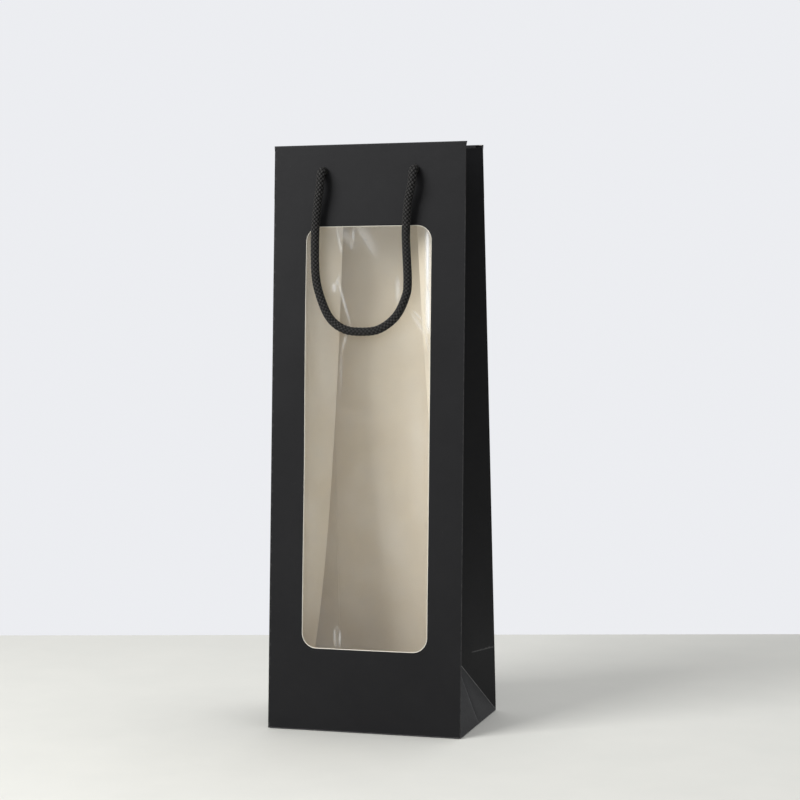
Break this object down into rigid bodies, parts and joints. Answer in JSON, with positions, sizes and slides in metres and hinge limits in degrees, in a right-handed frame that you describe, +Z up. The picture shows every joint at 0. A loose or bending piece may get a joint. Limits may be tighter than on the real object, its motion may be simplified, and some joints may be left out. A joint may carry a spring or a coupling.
{
  "type": "wine gift bag",
  "caption": "Tall narrow folded paper bag for one bottle, with a clear film window in the front and two braided cord handles.",
  "frame": {"origin": "centre of the bag's plan at the underside of its base", "axes": "+Z up, the windowed front faces -Y, +X to the right as seen from the front"},
  "size_m": [0.12, 0.085, 0.3493],
  "materials": {
    "paper": "black coated paper, matt outside, natural grey-brown fibre inside",
    "paper_inner": "uncoated grey-brown paper",
    "card": "uncoated grey board",
    "film": "clear thin film, glossy",
    "glue": "clear hot glue",
    "cord": "black braided cord"
  },
  "bodies": {
    "base": {"base_flap_back": "paper", "base_flap_front": "paper", "base_tuck_left": "paper", "base_tuck_right": "paper", "base_board": "card"},
    "front_panel": {"front_panel": "paper", "front_hem": "paper", "front_card": "card", "window_film": "film", "window_glue": "glue", "front_knot_left": "cord", "front_knot_right": "cord"},
    "back_panel": {"back_panel": "paper", "back_hem": "paper", "back_card": "card", "seam_flap": "paper_inner", "back_knot_left": "cord", "back_knot_right": "cord"},
    "left_gusset_front": {"left_gusset_front": "paper", "left_gusset_front_hem": "paper"},
    "left_gusset_back": {"left_gusset_back": "paper", "left_gusset_back_hem": "paper"},
    "right_gusset_front": {"right_gusset_front": "paper", "right_gusset_front_hem": "paper"},
    "right_gusset_back": {"right_gusset_back": "paper", "right_gusset_back_hem": "paper"},
    "left_gusset_foot": {"left_gusset_foot": "paper"},
    "right_gusset_foot": {"right_gusset_foot": "paper"},
    "front_handle": {"front_cord": "cord"},
    "back_handle": {"back_cord": "cord"}
  },
  "joints": [
    {"name": "front_panel_lean", "type": "hinge", "parent": "base", "child": "front_panel", "pos_m": [0, -0.0425, 0], "axis": [1, 0, 0], "range_deg": [0, 3.25], "stiffness_Nm_per_rad": 0.6},
    {"name": "back_panel_lean", "type": "hinge", "parent": "base", "child": "back_panel", "pos_m": [0, 0.0425, 0], "axis": [1, 0, 0], "range_deg": [-3.3, 0.05]},
    {"name": "left_gusset_front_fold", "type": "hinge", "parent": "front_panel", "child": "left_gusset_front", "pos_m": [-0.06, -0.0425, 0], "axis": [0, 0.0654, 0.9979], "range_deg": [-0.05, 40.02], "deforming": ["left_gusset_front", "left_gusset_front_hem"]},
    {"name": "left_gusset_back_fold", "type": "hinge", "parent": "back_panel", "child": "left_gusset_back", "pos_m": [-0.06, 0.0425, 0], "axis": [0, -0.0654, 0.9979], "range_deg": [-40.02, 0.05], "deforming": ["left_gusset_back", "left_gusset_back_hem"]},
    {"name": "right_gusset_front_fold", "type": "hinge", "parent": "front_panel", "child": "right_gusset_front", "pos_m": [0.06, -0.0425, 0], "axis": [0, 0.0654, 0.9979], "range_deg": [-40.02, 0.05], "deforming": ["right_gusset_front", "right_gusset_front_hem"]},
    {"name": "right_gusset_back_fold", "type": "hinge", "parent": "back_panel", "child": "right_gusset_back", "pos_m": [0.06, 0.0425, 0], "axis": [0, -0.0654, 0.9979], "range_deg": [-0.05, 40.02], "deforming": ["right_gusset_back", "right_gusset_back_hem"]},
    {"name": "left_gusset_foot_fold", "type": "hinge", "parent": "base", "child": "left_gusset_foot", "pos_m": [-0.06, 0, 0], "axis": [0, 1, 0], "range_deg": [-13.05, 0.05]},
    {"name": "right_gusset_foot_fold", "type": "hinge", "parent": "base", "child": "right_gusset_foot", "pos_m": [0.06, 0, 0], "axis": [0, 1, 0], "range_deg": [-0.05, 13.05]},
    {"name": "front_handle_swing", "type": "hinge", "parent": "front_panel", "child": "front_handle", "pos_m": [0, -0.02544, 0.3336], "axis": [-1, 0, 0], "range_deg": [0, 175]},
    {"name": "back_handle_swing", "type": "hinge", "parent": "back_panel", "child": "back_handle", "pos_m": [0, 0.02544, 0.3336], "axis": [1, 0, 0], "range_deg": [0, 175]}
  ],
  "couplings": [
    {"joint": "back_panel_lean", "follows": "front_panel_lean", "ratio": -1},
    {"joint": "left_gusset_front_fold", "follows": "front_panel_lean", "ratio": 12.3},
    {"joint": "left_gusset_back_fold", "follows": "front_panel_lean", "ratio": -12.3},
    {"joint": "right_gusset_front_fold", "follows": "front_panel_lean", "ratio": -12.3},
    {"joint": "right_gusset_back_fold", "follows": "front_panel_lean", "ratio": 12.3},
    {"joint": "left_gusset_foot_fold", "follows": "front_panel_lean", "ratio": -4},
    {"joint": "right_gusset_foot_fold", "follows": "front_panel_lean", "ratio": 4}
  ]
}
